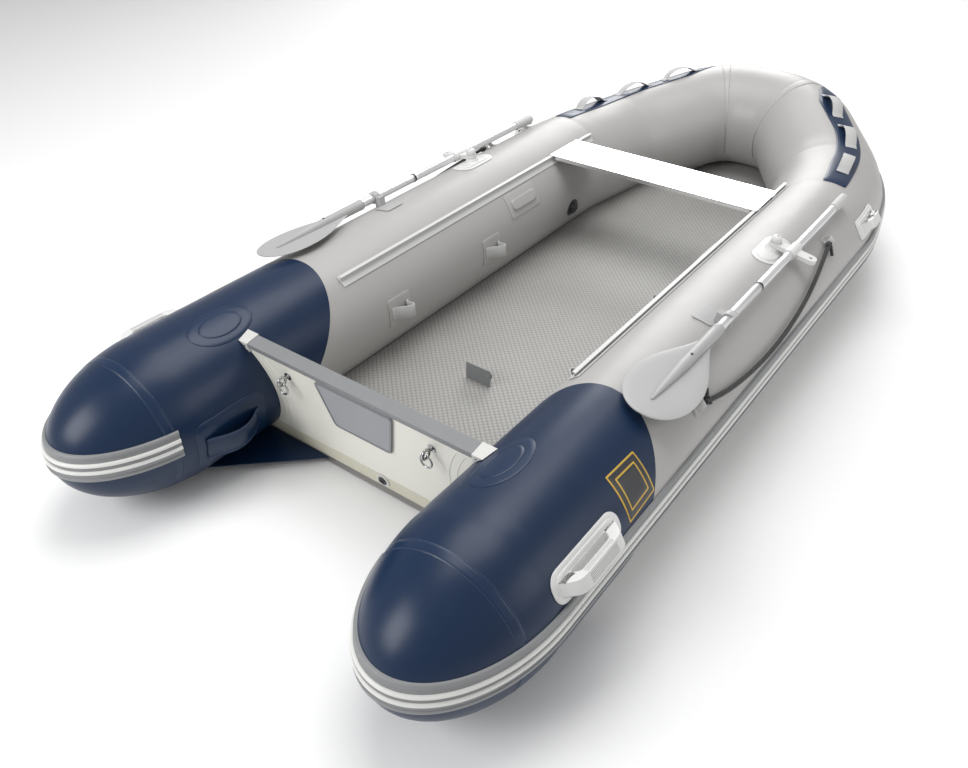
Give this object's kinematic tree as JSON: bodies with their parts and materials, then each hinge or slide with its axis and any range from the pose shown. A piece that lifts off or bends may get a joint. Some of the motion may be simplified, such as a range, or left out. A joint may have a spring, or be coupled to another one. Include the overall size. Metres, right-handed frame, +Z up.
{
  "type": "inflatable dinghy",
  "caption": "Inflatable boat: U-shaped tube hull, air-deck floor, rigid transom with motor pads, sliding aluminium seat, two oars swinging on rowlocks, carry handles and side lifelines.",
  "frame": {"origin": "middle of the hull's outline, on the surface that the tubes rest on", "axes": "+Y to the bow, +X to starboard, +Z up"},
  "size_m": [1.5916, 3.5167, 0.54],
  "materials": {
    "hull_navy": "coated fabric, satin",
    "hull_grey": "coated fabric, satin",
    "strake_rubber": "matt",
    "deck_grey": "embossed, matt",
    "transom_cream": "painted, satin",
    "trim_grey": "matt",
    "cap_white": "satin",
    "pad_grey": "fine ribbed, matt",
    "stainless": "polished",
    "aluminium": "anodised",
    "moulded_white": "satin",
    "rail_grey": "satin",
    "webbing_grey": "woven, matt",
    "blade_grey": "satin",
    "grip_grey": "matt",
    "dark_plastic": "satin",
    "rope_black": "braided"
  },
  "bodies": {
    "hull": {"aft_gussets": "hull_navy", "air_deck": "deck_grey", "bow_centre": "hull_grey", "bow_patches": "hull_navy", "bow_quarter_port": "hull_grey", "bow_quarter_starboard": "hull_grey", "bow_straps": "webbing_grey", "carry_handles": "moulded_white", "chamber_baffles": "hull_grey", "drain_fitting": "dark_plastic", "floor_valve": "dark_plastic", "hull_bottom": "hull_grey", "hull_valves": "dark_plastic", "inflatable_keel": "deck_grey", "inner_pads": "hull_grey", "lifeline_knots": "rope_black", "lifeline_port": "rope_black", "lifeline_starboard": "rope_black", "motor_pad_aft": "pad_grey", "motor_pad_forward": "pad_grey", "oar_clips": "blade_grey", "rope_eyes": "hull_grey", "rowlock_knobs": "moulded_white", "rowlock_pads": "moulded_white", "rowlock_pins": "stainless", "rub_strake": "strake_rubber", "seat_rails": "rail_grey", "side_tube_port": "hull_grey", "side_tube_starboard": "hull_grey", "stern_handles": "hull_navy", "stern_tube_port": "hull_navy", "stern_tube_starboard": "hull_navy", "strap_lugs": "webbing_grey", "tow_eyes": "rail_grey", "transom_board": "transom_cream", "transom_capping": "trim_grey", "transom_corner_caps": "cap_white", "transom_eye_bolts": "stainless", "transom_patches": "hull_navy", "transom_screws": "stainless"},
    "thwart": {"thwart": "aluminium", "thwart_hooks": "aluminium"},
    "oar_starboard": {"oar_collar_starboard": "moulded_white", "oar_loom_starboard": "aluminium", "oar_shaft_starboard": "aluminium", "oar_blade_starboard": "blade_grey", "oar_grip_starboard": "grip_grey"},
    "button_starboard": {"oar_button_starboard": "dark_plastic"},
    "ring_starboard": {"ring_starboard": "stainless"},
    "valve_cap_starboard": {"valve_cap_starboard": "dark_plastic"},
    "oar_port": {"oar_collar_port": "moulded_white", "oar_loom_port": "aluminium", "oar_shaft_port": "aluminium", "oar_blade_port": "blade_grey", "oar_grip_port": "grip_grey"},
    "button_port": {"oar_button_port": "dark_plastic"},
    "ring_port": {"ring_port": "stainless"},
    "valve_cap_port": {"valve_cap_port": "dark_plastic"},
    "drain_plug": {"drain_plug": "dark_plastic"},
    "floor_flap": {"floor_flap": "deck_grey"}
  },
  "joints": [
    {"name": "thwart_slide", "type": "slide", "parent": "hull", "child": "thwart", "axis": [0, 1, 0], "range_m": [-1.15, 0.1]},
    {"name": "oar_swing_starboard", "type": "hinge", "parent": "hull", "child": "oar_starboard", "pos_m": [0.6038, 0.11, 0.4501], "axis": [0.1805, 0, 0.9836], "range_deg": [0, 100]},
    {"name": "button_press_starboard", "type": "slide", "parent": "oar_starboard", "child": "button_starboard", "axis": [-0.1805, 0, -0.9836], "range_m": [0, 0.003], "stiffness_N_per_m": 300},
    {"name": "ring_swing_starboard", "type": "hinge", "parent": "hull", "child": "ring_starboard", "pos_m": [0.256, -1.22073, 0.31688], "axis": [-1, 0, 0], "range_deg": [-20, 110]},
    {"name": "valve_cap_turn_starboard", "type": "hinge", "parent": "hull", "child": "valve_cap_starboard", "pos_m": [0.3473, 0.459, 0.1793], "axis": [-0.9848, 0, -0.1736], "range_deg": [0, 90]},
    {"name": "oar_swing_port", "type": "hinge", "parent": "hull", "child": "oar_port", "pos_m": [-0.6038, 0.11, 0.4501], "axis": [0.1805, 0, -0.9836], "range_deg": [0, 100]},
    {"name": "button_press_port", "type": "slide", "parent": "oar_port", "child": "button_port", "axis": [0.1805, 0, -0.9836], "range_m": [0, 0.003], "stiffness_N_per_m": 300},
    {"name": "ring_swing_port", "type": "hinge", "parent": "hull", "child": "ring_port", "pos_m": [-0.256, -1.22073, 0.31688], "axis": [-1, 0, 0], "range_deg": [-20, 110]},
    {"name": "valve_cap_turn_port", "type": "hinge", "parent": "hull", "child": "valve_cap_port", "pos_m": [-0.3473, 0.459, 0.1793], "axis": [0.9848, 0, -0.1736], "range_deg": [0, 90]},
    {"name": "drain_plug_pull", "type": "slide", "parent": "hull", "child": "drain_plug", "axis": [0, -0.9848, -0.1736], "range_m": [0, 0.03]},
    {"name": "floor_flap_fold", "type": "hinge", "parent": "hull", "child": "floor_flap", "pos_m": [-0.03, -0.621, 0.0662], "axis": [-1, 0, 0], "range_deg": [0, 80]}
  ]
}
